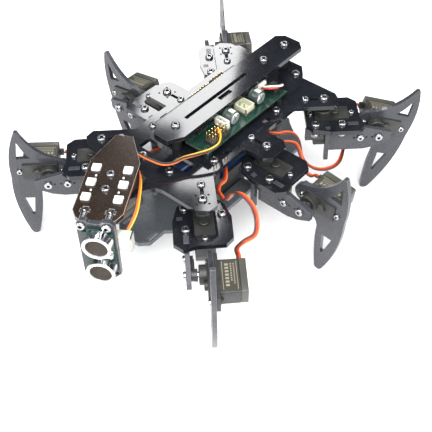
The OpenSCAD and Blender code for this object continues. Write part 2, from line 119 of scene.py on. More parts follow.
def mix(nt, fac, a, b, mode="MIX"):
    m = nt.nodes.new("ShaderNodeMix")
    m.data_type = "RGBA"
    m.blend_type = mode
    for sock, v in ((m.inputs[0], fac), (m.inputs[6], a), (m.inputs[7], b)):
        if isinstance(v, bpy.types.NodeSocket):
            nt.links.new(v, sock)
        elif isinstance(v, (int, float)):
            sock.default_value = v
        else:
            sock.default_value = (*v, 1)
    return m.outputs[2]


def math_node(nt, op, a, b=0.0):
    m = nt.nodes.new("ShaderNodeMath")
    m.operation = op
    for sock, v in ((m.inputs[0], a), (m.inputs[1], b)):
        if isinstance(v, bpy.types.NodeSocket):
            nt.links.new(v, sock)
        else:
            sock.default_value = v
    return m.outputs[0]


def bump(nt, b, height, strength, distance=0.0002):
    n = nt.nodes.new("ShaderNodeBump")
    n.inputs["Strength"].default_value = strength
    n.inputs["Distance"].default_value = distance
    nt.links.new(height, n.inputs["Height"])
    nt.links.new(n.outputs[0], b.inputs["Normal"])


def surface(name, base, rough, metal=0.0, var=0.25, scale=260.0, rvar=0.10, bump_s=0.12,
            spec=0.5, specks=0.0, scratch=0.0, coat=0.0, dust=0.0):
    """Procedural finish: slow colour change, fine roughness change, grain, scratches, specks and dust."""
    m, nt, b = new_mat(name)
    v = coords(nt)
    slow = noise(nt, v, 42.0, 3.0)
    fine = noise(nt, v, scale * 6, 3.0, 0.6)
    dark = tuple(max(0.0, c * (1 - var)) for c in base)
    light = tuple(min(1.0, c * (1 + var) + 0.004 * var) for c in base)
    col = mix(nt, ramp(nt, slow, [(0.3, 0.0), (0.7, 1.0)]), dark, light)
    rgh = ramp(nt, fine, [(0.25, max(0.02, rough - rvar)), (0.75, min(1.0, rough + rvar))])
    height = fine
    if specks:
        sp = noise(nt, v, 2600.0, 2.0, 0.7)
        mask = ramp(nt, sp, [(0.63, 0.0), (0.72, specks)])
        col = mix(nt, mask, col, tuple(min(1.0, c * 2.5 + 0.10) for c in base))
        rgh = mix(nt, mask, rgh, (0.6, 0.6, 0.6))
    if dust:
        d = ramp(nt, noise(nt, v, 95.0, 6.0, 0.7), [(0.45, 0.0), (0.8, dust)])
        col = mix(nt, d, col, (0.35, 0.34, 0.33))
        rgh = mix(nt, d, rgh, (0.7, 0.7, 0.7))
    if scratch:
        sv = coords(nt, (1.0, 14.0, 1.0))
        sc = noise(nt, sv, 520.0, 2.0, 0.4)
        line = ramp(nt, sc, [(0.68, 0.0), (0.7, 1.0), (0.72, 0.0)])
        rgh = mix(nt, math_node(nt, "MULTIPLY", line, scratch), rgh, (0.55, 0.55, 0.55))
        height = math_node(nt, "SUBTRACT", fine, math_node(nt, "MULTIPLY", line, 0.6))
    nt.links.new(col, b.inputs["Base Color"])
    nt.links.new(rgh, b.inputs["Roughness"])
    b.inputs["Metallic"].default_value = metal
    b.inputs["Specular IOR Level"].default_value = spec
    if coat:
        b.inputs["Coat Weight"].default_value = coat
        b.inputs["Coat Roughness"].default_value = 0.06
    bump(nt, b, height, bump_s)
    return m


M_BLACK = surface("acrylic_black", (0.006, 0.007, 0.010), 0.075, var=0.35, rvar=0.03, bump_s=0.018, specks=0.3, scratch=0.5, dust=0.02)
M_BROWN = surface("acrylic_brown_black", (0.020, 0.012, 0.008), 0.17, var=0.35, rvar=0.06, bump_s=0.05, specks=0.6, scratch=0.5, dust=0.02)
M_GREY = surface("acrylic_grey", (0.034, 0.036, 0.043), 0.26, var=0.12, rvar=0.07, bump_s=0.06, specks=0.10, scratch=0.4, dust=0.02)
# lighter copy of the grey acrylic for the lower frame plate: painted reflection
M_GREY_LIT = surface("acrylic_grey_painted_reflection", (0.075, 0.083, 0.092), 0.28, var=0.12, rvar=0.07, bump_s=0.06, specks=0.10, scratch=0.4, dust=0.03)
# the three bevel colours below are much lighter than their plates: painted highlight along the plate edges
M_EDGE_LIT_B = surface("painted_edge_highlight_black", (0.055, 0.058, 0.065), 0.3, var=0.3, rvar=0.1, bump_s=0.2)
M_EDGE_LIT_G = surface("painted_edge_highlight_grey", (0.12, 0.125, 0.14), 0.35, var=0.2, rvar=0.1, bump_s=0.2)
M_EDGE_LIT_H = surface("painted_edge_highlight_head", (0.50, 0.46, 0.42), 0.35, var=0.2, rvar=0.1, bump_s=0.2)
M_STEEL = surface("nickel_screw", (0.44, 0.44, 0.46), 0.26, metal=1.0, var=0.12, rvar=0.09, bump_s=0.05, dust=0.08)
# near-black fill for screw sockets, case seams, vent grooves and plug holes: painted shade
M_SHADE_FILL = surface("painted_recess_shade", (0.03, 0.03, 0.032), 0.5, metal=0.6, var=0.3)
M_HORN = surface("nylon_black", (0.022, 0.022, 0.024), 0.42, var=0.3, rvar=0.1, bump_s=0.12, dust=0.05)
M_CASE = surface("servo_case", (0.014, 0.0145, 0.013), 0.45, var=0.2, rvar=0.1, bump_s=0.18, dust=0.08)
M_LID = surface("servo_lid", (0.055, 0.054, 0.046), 0.38, var=0.15, rvar=0.1, bump_s=0.15, dust=0.05)
M_LABEL = surface("servo_label", (0.040, 0.038, 0.028), 0.35, var=0.12, rvar=0.06, bump_s=0.04)
M_LABEL_LINE = surface("servo_label_line", (0.24, 0.225, 0.17), 0.4, var=0.1, rvar=0.06, bump_s=0.04)
M_POST = surface("black_post", (0.02, 0.02, 0.021), 0.35, metal=0.3, var=0.3, rvar=0.1, bump_s=0.1, dust=0.06)
M_PCB = surface("solder_mask_green", (0.003, 0.026, 0.018), 0.28, var=0.35, rvar=0.08, bump_s=0.1, specks=0.2, dust=0.05)
M_PCB_EDGE = surface("board_edge", (0.30, 0.30, 0.16), 0.6, var=0.2)
M_GOLD = surface("pin_gold", (0.80, 0.58, 0.22), 0.25, metal=1.0, var=0.1)
M_TIN = surface("solder_tin", (0.66, 0.67, 0.68), 0.3, metal=1.0, var=0.15, bump_s=0.2)
M_CHIP = surface("chip_black", (0.018, 0.018, 0.02), 0.45, var=0.2, bump_s=0.1)
M_WHITE = surface("nylon_white", (0.62, 0.63, 0.56), 0.38, var=0.06, rvar=0.06, bump_s=0.08, dust=0.06)
M_CREAM = surface("nylon_cream", (0.50, 0.50, 0.36), 0.4, var=0.08, rvar=0.06, bump_s=0.08, dust=0.08)
M_CAP = surface("capacitor_sleeve", (0.03, 0.045, 0.04), 0.3, var=0.15, bump_s=0.05)
M_ALU = surface("turned_aluminium", (0.83, 0.84, 0.85), 0.16, metal=1.0, var=0.06, rvar=0.07, bump_s=0.06)
M_RIM = surface("bright_rim", (0.93, 0.93, 0.94), 0.3, metal=0.85, var=0.04, rvar=0.08, bump_s=0.04)
M_MESH = surface("mesh_dark", (0.09, 0.075, 0.062), 0.4, metal=0.7, var=0.2)
M_CONE = surface("cone_dark", (0.02, 0.017, 0.016), 0.7, var=0.3)
M_LED = surface("led_white", (0.86, 0.86, 0.84), 0.25, var=0.04, rvar=0.05, bump_s=0.04)
M_LENS = surface("led_lens", (0.80, 0.78, 0.62), 0.12, var=0.06, rvar=0.03, bump_s=0.02, coat=0.5)
M_WRAP = surface("cell_wrap", (0.02, 0.05, 0.16), 0.25, var=0.15, rvar=0.06, bump_s=0.05)
M_TRAY = surface("battery_tray", (0.02, 0.02, 0.022), 0.5, var=0.25, bump_s=0.2, dust=0.08)
M_ORANGE = surface("wire_orange", (0.60, 0.12, 0.018), 0.42, var=0.12, rvar=0.08, bump_s=0.08)
M_RED = surface("wire_red", (0.36, 0.022, 0.015), 0.42, var=0.12, rvar=0.08, bump_s=0.08)
M_BROWNW = surface("wire_brown", (0.06, 0.02, 0.012), 0.42, var=0.12, rvar=0.08, bump_s=0.08)
M_YELLOW = surface("wire_yellow", (0.66, 0.40, 0.03), 0.4, var=0.12, rvar=0.08, bump_s=0.08)
M_BLACKW = surface("wire_black", (0.02, 0.02, 0.02), 0.4, var=0.12, rvar=0.08, bump_s=0.08)
M_GREYW = surface("wire_grey", (0.30, 0.29, 0.28), 0.42, var=0.12, rvar=0.08, bump_s=0.08)
M_WHITEW = surface("wire_white", (0.78, 0.77, 0.74), 0.42, var=0.08, rvar=0.08, bump_s=0.08)

# ---------------------------------------------------------------- mesh tools


def hexr(r, a):
    k = a % (math.pi / 3)
    return r * math.cos(math.pi / 6) / math.cos(k - math.pi / 6)


def bm_rings(rings, n=36, loop=False):
    """Rings of (kind, radius, z) joined into a skin; radius 0 closes to a point."""
    bm = bmesh.new()
    rows = []
    for kind, r, z in rings:
        if r <= 1e-6:
            rows.append([bm.verts.new((0, 0, z))])
            continue
        line = []
        for i in range(n):
            a = 2 * math.pi * i / n
            q = r if kind == "c" else hexr(r, a)
            line.append(bm.verts.new((q * math.cos(a), q * math.sin(a), z)))
        rows.append(line)
    pairs = list(zip(rows, rows[1:])) + ([(rows[-1], rows[0])] if loop else [])
    for a, b in pairs:
        for i in range(n):
            j = (i + 1) % n
            if len(a) == 1:
                bm.faces.new((a[0], b[j], b[i])) if len(b) > 1 else None
            elif len(b) == 1:
                bm.faces.new((a[i], a[j], b[0]))
            else:
                bm.faces.new((a[i], a[j], b[j], b[i]))
    bmesh.ops.recalc_face_normals(bm, faces=bm.faces)
    return bm


def bm_lathe(profile, n=36):
    return bm_rings([("c", r, z) for r, z in profile], n)


def bm_prism(pts, z0, z1):
    bm = bmesh.new()
    lo = [bm.verts.new((x, y, z0)) for x, y in pts]
    hi = [bm.verts.new((x, y, z1)) for x, y in pts]
    bm.faces.new(list(reversed(lo)))
    bm.faces.new(hi)
    n = len(pts)
    for i in range(n):
        j = (i + 1) % n
        bm.faces.new((lo[i], lo[j], hi[j], hi[i]))
    bmesh.ops.recalc_face_normals(bm, faces=bm.faces)
    return bm


def rrect(x0, y0, x1, y1, r, seg=4):
    pts = []
    for cx, cy, a0 in ((x1 - r, y1 - r, 0), (x0 + r, y1 - r, 90), (x0 + r, y0 + r, 180), (x1 - r, y0 + r, 270)):
        for i in range(seg + 1):
            a = rad(a0 + 90 * i / seg)
            pts.append((cx + r * math.cos(a), cy + r * math.sin(a)))
    return pts


def bm_box(lo, hi):
    return bm_prism([(lo[0], lo[1]), (hi[0], lo[1]), (hi[0], hi[1]), (lo[0], hi[1])], lo[2], hi[2])


def smooth_path(pts, step=1.1):
    """Even points along a smooth curve through pts."""
    p = [Vector(q) for q in pts]
    ext = [2 * p[0] - p[1]] + p + [2 * p[-1] - p[-2]]
    dense = []
    for i in range(1, len(ext) - 2):
        a, b, c, d = ext[i - 1:i + 3]
        ta, tb, tc = (b - a).length ** 0.5, (c - b).length ** 0.5, (d - c).length ** 0.5
        m1 = (c - b) + tb * ((b - a) / max(ta, 1e-6) - (c - a) / max(ta + tb, 1e-6))
        m2 = (c - b) + tb * ((d - c) / max(tc, 1e-6) - (d - b) / max(tb + tc, 1e-6))
        for k in range(24):
            t = k / 24
            dense.append((2 * t ** 3 - 3 * t ** 2 + 1) * b + (t ** 3 - 2 * t ** 2 + t) * m1 + (-2 * t ** 3 + 3 * t ** 2) * c + (t ** 3 - t ** 2) * m2)
    dense.append(p[-1])
    total = sum((dense[i + 1] - dense[i]).length for i in range(len(dense) - 1))
    n = max(6, int(round(total / step)))
    out, acc, k = [dense[0].copy()], 0.0, 0
    for j in range(1, n):
        want = total * j / n
        while acc + (dense[k + 1] - dense[k]).length < want:
            acc += (dense[k + 1] - dense[k]).length
            k += 1
        d = (dense[k + 1] - dense[k])
        out.append(dense[k] + d * ((want - acc) / max(d.length, 1e-9)))
    out.append(dense[-1].copy())
    return out, total


def path_frames(path, side0, side1=None):
    """Side vectors along a path, turning from side0 to side1."""
    n = len(path)
    tang = []
    for i in range(n):
        t = path[min(i + 1, n - 1)] - path[max(i - 1, 0)]
        tang.append(t.normalized())
    side1 = side1 or side0
    sides = []
    for i in range(n):
        f = i / (n - 1)
        s = Vector(side0) * (1 - f) + Vector(side1) * f
        s = s - tang[i] * s.dot(tang[i])
        if s.length < 0.15:
            s = (sides[-1] - tang[i] * sides[-1].dot(tang[i])) if sides else tang[i].orthogonal()
        sides.append(s.normalized())
    # calm sudden turns
    for _ in range(4):
        sides = [(sides[max(i - 1, 0)] + sides[i] * 2 + sides[min(i + 1, n - 1)]).normalized() for i in range(n)]
        sides = [(s - tang[i] * s.dot(tang[i])).normalized() for i, s in enumerate(sides)]
    return tang, sides


def bm_tube(path, tang, sides, off=(0.0, 0.0), r=0.6, n=10):
    bm = bmesh.new()
    rows = []
    for p, t, s in zip(path, tang, sides):
        u = t.cross(s).normalized()
        c = p + s * off[0] + u * off[1]
        rows.append([bm.verts.new(c + s * (r * math.cos(2 * math.pi * i / n)) + u * (r * math.sin(2 * math.pi * i / n))) for i in range(n)])
    for a, b in zip(rows, rows[1:]):
        for i in range(n):
            j = (i + 1) % n
            bm.faces.new((a[i], a[j], b[j], b[i]))
    bm.faces.new(list(reversed(rows[0])))
    bm.faces.new(rows[-1])
    bmesh.ops.recalc_face_normals(bm, faces=bm.faces)
    return bm


class Piece:
    """Collects parts made in model millimetres into one object."""

    def __init__(self, name):
        self.name = name
        self.bm = bmesh.new()
        self.mats = []

    def add(self, tmp, M=I4, mat=None, bevel=0.0, seg=2, angle=40.0, smooth=True):
        if bevel:
            es = [e for e in tmp.edges if len(e.link_faces) == 2 and e.calc_face_angle(0) > rad(angle)]
            bmesh.ops.bevel(tmp, geom=es, offset=bevel, segments=seg, profile=0.7, affect="EDGES", clamp_overlap=True)
        if mat not in self.mats:
            self.mats.append(mat)
        k = self.mats.index(mat)
        for f in tmp.faces:
            f.material_index = k
            f.smooth = smooth
        tmp.transform(M)
        if M.determinant() < 0:
            bmesh.ops.reverse_faces(tmp, faces=tmp.faces)
        me = bpy.data.meshes.new("tmp")
        tmp.to_mesh(me)
        tmp.free()
        self.bm.from_mesh(me)
        bpy.data.meshes.remove(me)
        return self

    def done(self, body=None, slot=None, nodes=(), angle=38):
        me = bpy.data.meshes.new(self.name)
        self.bm.to_mesh(me)
        self.bm.free()
        for m in self.mats:
            me.materials.append(m)
        me.transform(ROW)
        me.set_sharp_from_angle(angle=rad(angle))
        ob = bpy.data.objects.new(self.name, me)
        bpy.context.scene.collection.objects.link(ob)
        if body:
            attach(ob, body)
        if nodes:
            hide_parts(*nodes)
        return ob


def dress(node, face, edge, width=0.22, seg=2):
    """Carried-over plate: welded, eased edges lightened as a painted edge highlight, and its finish."""
    o = NODES[node]
    o.data.materials.clear()
    o.data.materials.append(face)
    o.data.materials.append(edge)
    w = o.modifiers.new("weld", "WELD")
    w.merge_threshold = 0.00001
    d = o.modifiers.new("flat", "DECIMATE")
    d.decimate_type = "DISSOLVE"
    d.angle_limit = rad(0.4)
    b = o.modifiers.new("ease", "BEVEL")
    b.width = width * MM
    b.segments = seg
    b.limit_method = "ANGLE"
    b.angle_limit = rad(50)
    b.material = 1
    b.use_clamp_overlap = True
    b.harden_normals = False
    return o


# ---------------------------------------------------------------- shared hardware


def put_screw(P, M, l, r=1.45, hr=2.75, hh=1.8, thread=False, hexs=1.3):
    d = hh * 0.62
    # dark hex socket: painted shade
    P.add(bm_rings([("c", 0, hh - d), ("h", hexs, hh - d), ("h", hexs, hh - 0.06)], 36), M, M_SHADE_FILL, smooth=False)
    rings = [("h", hexs, hh - 0.06), ("h", hexs + 0.1, hh), ("c", hr * 0.62, hh), ("c", hr * 0.82, hh - 0.12), ("c", hr * 0.95, hh - 0.38),
             ("c", hr, hh - 0.75), ("c", hr, 0.14), ("c", hr - 0.14, 0.0), ("c", r, 0.0)]
    if thread:
        z = -0.4
        while z > -l + 0.6:
            rings += [("c", r, z), ("c", r * 0.86, z - 0.16), ("c", r, z - 0.32)]
            z -= 0.42
    rings += [("c", r, -l + 0.35), ("c", r * 0.75, -l), ("c", 0, -l)]
    P.add(bm_rings(rings, 36), M, M_STEEL)


def put_nut(P, M, t=2.4, turn=0.0, R=3.17, r=1.52):
    P.add(bm_rings([("c", R * 0.86, 0.0), ("h", R, 0.28), ("h", R, t - 0.28), ("c", R * 0.86, t), ("c", r + 0.25, t), ("c", r, t - 0.25), ("c", r, 0.25), ("c", r + 0.25, 0.0)], 36, loop=True),
          M @ RZ(turn), M_STEEL)


def capsule(length, r0, r1, n=10):
    pts = [(r0 * math.cos(rad(a)), r0 * math.sin(rad(a))) for a in [-90 + 180 * i / n for i in range(n + 1)]]
    pts += [(-length + r1 * math.cos(rad(a)), r1 * math.sin(rad(a))) for a in [90 + 180 * i / n for i in range(n + 1)]]
    return pts


def put_horn(P, M, hub, arm, top):
    """Servo horn with a ribbed hub, its arm towards -X, and the splined shaft in it."""
    P.add(bm_lathe([(2.44, hub), (3.3, hub), (3.5, hub + 0.2), (3.5, top - 0.2), (3.3, top), (1.2, top), (1.2, top - 1.2), (2.44, top - 1.2), (2.44, hub)], 40), M, M_HORN)
    P.add(bm_prism(capsule(12.2, 2.7, 2.1), arm, top), M, M_HORN, bevel=0.2)
    P.add(bm_prism(capsule(10.6, 1.9, 1.3), arm - 0.45, arm + 0.1), M, M_HORN, bevel=0.15)
    for i in range(10):
        a = 36 * i
        P.add(bm_box((3.3, -0.35, hub + 0.25), (3.75, 0.35, arm)), M @ RZ(a + 18), M_HORN)
    shaft = [("c", 0, 0.1), ("c", 2.2, 0.1), ("c", 2.4, 0.3), ("c", 2.4, hub - 0.6), ("c", 2.1, hub - 0.5), ("c", 2.1, top - 1.5), ("c", 0, top - 1.5)]
    P.add(bm_rings(shaft, 36), M, M_TIN)


def put_servo(P, M, label=True, plug=True):
    """Micro servo: lid, case, ears, gear cover, dome, lid screws, label and cable boot."""
    P.add(bm_prism(rrect(-5.9, -6.1, 16.9, 6.1, 0.9), -14.2, -2.45), M, M_CASE, bevel=0.22)
    # dark core showing through the case seams: painted shade
    P.add(bm_prism(rrect(-5.65, -5.85, 16.65, 5.85, 0.8), -14.6, 0.3), M, M_SHADE_FILL)
    P.add(bm_prism(rrect(-5.9, -6.1, 16.9, 6.1, 0.9), -18.4, -14.45), M, M_LID, bevel=0.35)
    P.add(bm_prism(rrect(-5.9, -6.1, 16.9, 6.1, 0.9), 0.15, 4.1), M, M_CASE, bevel=0.4)
    P.add(bm_prism(rrect(-10.6, -6.1, 21.6, 6.1, 0.7), -2.5, 0.0), M, M_CASE, bevel=0.2)
    for s, x0, x1 in ((-1, -10.2, -5.8), (1, 16.8, 21.2)):
        P.add(bm_prism([(x0, 0), (x1, 0), (x1 if s < 0 else x0, -2.2)] if s < 0 else [(x0, 0), (x1, 0), (x0, -2.2)], -0.45, 0.45), M @ T(0, 0, -2.4) @ RX(90), M_CASE)
    P.add(bm_lathe([(2.45, 4.0), (5.75, 4.0), (5.75, 4.3), (5.9, 4.4), (5.9, 8.2), (5.55, 8.55), (3.4, 8.6), (3.2, 8.35), (2.45, 8.35), (2.45, 4.0)], 48), M, M_CASE)
    P.add(bm_lathe([(0, 4.0), (2.9, 4.0), (2.9, 5.7), (2.6, 6.0), (0, 6.0)], 36), M @ T(7.6, 0, 0), M_CASE)
    for x in (-4.6, 15.6):
        for y in (-4.8, 4.8):
            P.add(bm_lathe([(0, -0.12), (0.95, -0.12), (0.95, 0.05), (0, 0.2)], 20), M @ T(x, y, -18.4) @ RX(180), M_TIN)
    P.add(bm_prism(rrect(-8.6, -1.9, -5.7, 1.9, 0.5), -16.4, -13.9), M, M_CASE, bevel=0.3)
    for k in range(3):
        P.add(bm_box((-8.45 + k * 0.85, -2.0, -16.5), (-8.05 + k * 0.85, 2.0, -13.8)), M, M_CASE)
    if label:
        for s in (-1, 1):
            L = M @ T(5.5, s * 6.1, -8.6) @ (RX(90) if s < 0 else RX(-90))
            P.add(bm_prism(rrect(-10.3, -5.1, 10.3, 5.1, 0.5), -0.02, 0.07), L, M_LABEL)
            bars = [(-9.5, 3.9, 9.5, 4.25), (-9.5, -4.25, 9.5, -3.9)] + [(-8.0 + 2.3 * q, 0.5, -6.6 + 2.3 * q, 2.6) for q in range(7)] \
                + [(-8.0 + 1.55 * q, -1.3, -7.1 + 1.55 * q, -0.4) for q in range(8)] + [(-8.0 + 1.3 * q, -2.9, -7.3 + 1.3 * q, -2.1) for q in range(11)]
            for x0, y0, x1, y1 in bars:
                P.add(bm_box((x0, y0, 0.05), (x1, y1, 0.12)), L, M_LABEL_LINE)


# ---------------------------------------------------------------- leg data

HIP_Y, CLAW_R, CLAW_Z = 41.8, 36.2, -24.1
HIP_FLANGE, CLAW_FLANGE, LEG_N, COXA_TOP = -16.0, -3.5, 9.5, -13.0
HOLE_IN, HOLE_OUT, PITCH = -8.25, 18.85, 12.2
LEGS = {
    "front_right": (60, 1, -44.6, 19.8), "middle_right": (0, 1, -91.5, 4.7), "rear_right": (-60, 1, -135, 5),
    "front_left": (60, -1, -44.7, 10), "middle_left": (0, -1, -89.4, 10.2), "rear_left": (-60, -1, -133.3, 0),
}


def side(s):
    return I4 if s > 0 else FLIP


def leg_m(k):
    hx, s, yaw, _ = LEGS[k]
    return side(s) @ T(hx, -HIP_Y, 0) @ RZ(yaw)


def hip_m(k):
    hx, s, yaw, _ = LEGS[k]
    return side(s) @ T(hx, -HIP_Y, 0) @ RZ(-45 if yaw > -60 else (-135 if yaw < -120 else -90))


def claw_m(k):
    return leg_m(k) @ T(CLAW_R, CLAW_FLANGE, CLAW_Z) @ RY(-LEGS[k][3]) @ RX(-90) @ RZ(16.4)


def claw_axis_m(k):
    return leg_m(k) @ T(CLAW_R, CLAW_FLANGE, CLAW_Z) @ RX(-90)


def boot(k):
    a = rad(LEGS[k][3] - 16.4)
    return (CLAW_R - 8.9 * math.cos(a), CLAW_FLANGE - 15.1, CLAW_Z - 8.9 * math.sin(a))


LOW = [(-16.6, -6, -24.8), (-13, -10.5, -26), (-6, -16, -29), (3, -20, -32), (12, -21.5, -31), (20, -20.5, -27)]
HIGH = [(-17, -10.5, -12), (-8.5, -13.4, -9.9), (-4.5, -17.4, -0.8), (1, -22.2, 3.6), (8, -27.8, 1.2), (14, -30.1, -5.6), (21.5, -28.2, -9.3), (24.6, -21.5, -11.4), (23.7, -17.7, -18)]
REAR = [(-31.2, 21.5, -10), (-25, 18.4, -11.7), (-20.2, 17.5, -14.5), (-17.1, 18.5, -19.5), (-14.6, 21.5, -30.9), (-11.8, 22.6, -35.9), (-5.5, 22.5, -41), (3.2, 19.6, -44.2), (10.9, 13.8, -44.6), (15.5, 4, -42.4), (18.5, -7, -35), (20.6, -16, -25.4)]
MID = [(-6.4, -20.9, -15), (-1.2, -24.2, -13.7), (3.4, -25.6, -13.5), (7.6, -23.8, -15), (12, -20.8, -17.5), (17.5, -17.4, -22.4), (22.5, -18, -24.6)]
RUNS = {"front_right": LOW, "middle_right": LOW, "rear_right": LOW, "front_left": HIGH, "middle_left": MID, "rear_left": REAR}


def ribbon(name, pts, side0, side1, mats=(M_ORANGE, M_RED, M_BROWNW), r=0.52, gap=1.0):
    path, total = smooth_path(pts)
    tang, sides = path_frames(path, side0, side1)
    P = Piece(name)
    n = len(mats)
    for i, m in enumerate(mats):
        P.add(bm_tube(path, tang, sides, ((i - (n - 1) / 2) * gap, 0.0), r), I4, m)
    return P, path, total


# ---------------------------------------------------------------- legs
SOFT = []
for k in LEGS:
    LM, HM, CM, AM = leg_m(k), hip_m(k), claw_m(k), claw_axis_m(k)
    coxa, claw = "coxa_" + k, "claw_" + k
    dress("coxa_plate_" + k, M_BLACK, M_EDGE_LIT_B)
    dress("leg_plate_" + k, M_GREY, M_EDGE_LIT_G)
    dress("claw_" + k, M_GREY, M_EDGE_LIT_G)

    P = Piece("hip_servo_body_" + k)
    put_servo(P, LM @ T(0, 0, HIP_FLANGE))
    P.done(coxa, "servo_case", ["hip_servo_" + k])

    P = Piece("claw_joint_horn_" + k)
    put_horn(P, AM, 9.2, 11.2, 13)
    P.done(coxa, "black_horn")

    P = Piece("leg_fasteners_" + k)
    put_screw(P, AM @ T(0, 0, 16), 6, r=0.95, hr=2.6, hexs=1.15)
    put_screw(P, AM @ T(-PITCH, 0, 16), 4.6, r=0.85, hr=2.4, hh=1.5, hexs=1.05)
    for x in (-6, 11.3):
        put_screw(P, LM @ T(x, LEG_N + 1.5, COXA_TOP), 9.8, thread=True)
        put_nut(P, LM @ T(x, LEG_N + 1.5, HIP_FLANGE - 5.5), turn=30)
    put_screw(P, LM @ T(0, -11, COXA_TOP), 7)
    put_nut(P, LM @ T(0, -11, HIP_FLANGE - 2.4))
    for x in (HOLE_IN, HOLE_OUT):
        put_screw(P, LM @ T(x, 0, COXA_TOP), 5.3, r=1.0, hr=1.85, hh=1.5, hexs=0.9)
    P.done(coxa, "steel", ["claw_horn_" + k])

    P = Piece("claw_servo_body_" + k)
    put_servo(P, CM)
    for x in (HOLE_IN, HOLE_OUT):
        put_screw(P, CM @ T(x, 0, 3), 5.3, r=1.0, hr=1.85, hh=1.5, hexs=0.9)
    P.done(claw, "servo_case", ["claw_servo_" + k])

    # lead from the chassis side to the claw servo's boot
    b = Vector(boot(k))
    a = rad(LEGS[k][3] - 16.4)
    away = Vector((-math.cos(a), 0, -math.sin(a)))
    pts = [LM @ Vector(p) for p in RUNS[k] + [tuple(b + away * 2.4), tuple(b)]]
    r_dir = (LM.to_3x3() @ Vector((1, 0, 0))).normalized()
    n_dir = (LM.to_3x3() @ Vector((0, 1, 0))).normalized()
    P, path, total = ribbon("claw_lead_" + k, pts, n_dir, n_dir)
    ob = P.done(None, "lead", ["servo_lead_" + k])
    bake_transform(ob)

# ---------------------------------------------------------------- chassis
dress("upper_frame_plate", M_BLACK, M_EDGE_LIT_B)
# the lower frame plate takes the lighter grey copy: painted reflection
dress("lower_frame_plate", M_GREY_LIT, M_EDGE_LIT_G)
dress("cover_plate", M_BLACK, M_EDGE_LIT_B)
dress("frame_standoffs", M_POST, M_POST, 0.3)

P = Piece("frame_fasteners")
STAND = [(30.5, 25.3), (30.5, -25.3), (-30.5, 25.3), (-30.5, -25.3)]
COVER_X = [-71, -49, 36]
for x, y in STAND:
    put_screw(P, T(x, y, 0), 8)
    put_screw(P, T(x, y, -44) @ RX(180), 8)
for s in (1, -1):
    for x, y in ((54.8, 10.9), (-69.3, 11.7)):
        put_screw(P, T(x, y * s, 0), 7, thread=True)
        put_nut(P, T(x, y * s, -5.4))
for x in COVER_X:
    put_screw(P, T(x, 0, 17.5), 7)
    put_screw(P, T(x, 0, -3) @ RX(180), 8)
for k in LEGS:
    put_screw(P, hip_m(k), 6, r=0.95)
    put_screw(P, hip_m(k) @ T(-PITCH, 0, 0), 4.6, r=0.85, hr=2.4, hh=1.5, hexs=1.05)
for x in (90.5 - HOLE_OUT, 90.5 - HOLE_IN):
    put_screw(P, T(x, 0, 2.5), 5.4, r=0.9, hr=1.85, hh=1.3, hexs=0.85)
P.done("chassis", "steel", ["frame_screws"])

P = Piece("hip_joint_horns")
for k in LEGS:
    put_horn(P, hip_m(k) @ T(0, 0, HIP_FLANGE), 9.2, 11.2, 13)
P.done("chassis", "black_horn", ["hip_horns"])

P = Piece("head_pan_servo")
put_servo(P, T(90.5, 0, 2.5) @ RZ(180))
P.done("chassis", "servo_case", ["head_servo"])

# control board: carried-over plate plus its details
o = NODES["control_board"]
dress("control_board", M_PCB, M_PCB_EDGE, 0.12, 1)

P = Piece("board_components")
Z = 6.6


def put_pins(P, x0, y0, nx, ny, pitch=2.54, h=7.4, base=2.5):
    P.add(bm_box((x0 - 1.27, y0 - 1.27, Z), (x0 + pitch * (nx - 1) + 1.27, y0 + pitch * (ny - 1) + 1.27, Z + base)), I4, M_CHIP, bevel=0.2)
    for i in range(nx):
        for j in range(ny):
            x, y = x0 + pitch * i, y0 + pitch * j
            P.add(bm_box((x - 0.32, y - 0.32, Z + base - 0.2), (x + 0.32, y + 0.32, Z + h)), I4, M_GOLD, bevel=0.1, seg=1)


def put_chip(P, cx, cy, w, d, h=1.6, pins=8, sides=(1, 1)):
    P.add(bm_box((cx - w / 2, cy - d / 2, Z + 0.2), (cx + w / 2, cy + d / 2, Z + h)), I4, M_CHIP, bevel=0.18)
    P.add(bm_lathe([(0, 0), (0.45, 0), (0.45, 0.04), (0, 0.04)], 16), T(cx - w / 2 + 1.1, cy - d / 2 + 1.1, Z + h), M_TIN)
    for i in range(pins):
        t = (i + 0.5) / pins - 0.5
        if sides[0]:
            for s in (-1, 1):
                P.add(bm_box((cx + t * w - 0.2, cy + s * (d / 2 + 0.5) - 0.6, Z), (cx + t * w + 0.2, cy + s * (d / 2 + 0.5) + 0.6, Z + 0.35)), I4, M_TIN)
        if sides[1]:
            for s in (-1, 1):
                P.add(bm_box((cx + s * (w / 2 + 0.5) - 0.6, cy + t * d - 0.2, Z), (cx + s * (w / 2 + 0.5) + 0.6, cy + t * d + 0.2, Z + 0.35)), I4, M_TIN)


def put_can_cap(P, x):
    """Can capacitor lying on the board, its end facing the left side."""
    M = T(x, 11.2, Z + 4.7) @ RX(-90)
    P.add(bm_lathe([(0, 0), (4.2, 0), (4.5, 0.3), (4.6, 1.2), (4.2, 1.7), (4.2, 2.1), (4.6, 2.6), (4.6, 7.0), (4.35, 7.5), (3.9, 7.6), (3.9, 7.4)], 48), M, M_CAP)
    P.add(bm_lathe([(3.95, 7.45), (3.7, 7.55), (0, 7.55)], 48), M, M_RIM)
    # dark vent grooves on the can top: painted shade
    for a in (0, 90):
        P.add(bm_box((-3.3, -0.18, 7.5), (3.3, 0.18, 7.6)), M @ RZ(a + 20), M_SHADE_FILL)
    P.add(bm_prism([(4.55 * math.cos(rad(a)), 4.55 * math.sin(rad(a))) for a in (-115, -105, -95, -85, -75)] + [(4.68 * math.cos(rad(a)), 4.68 * math.sin(rad(a))) for a in (-75, -85, -95, -105, -115)], 2.8, 6.8), M, M_WHITE)
    for s in (-1.2, 1.2):
        P.add(bm_box((x + s - 0.3, 9.6, Z), (x + s + 0.3, 11.4, Z + 4.9)), I4, M_TIN)


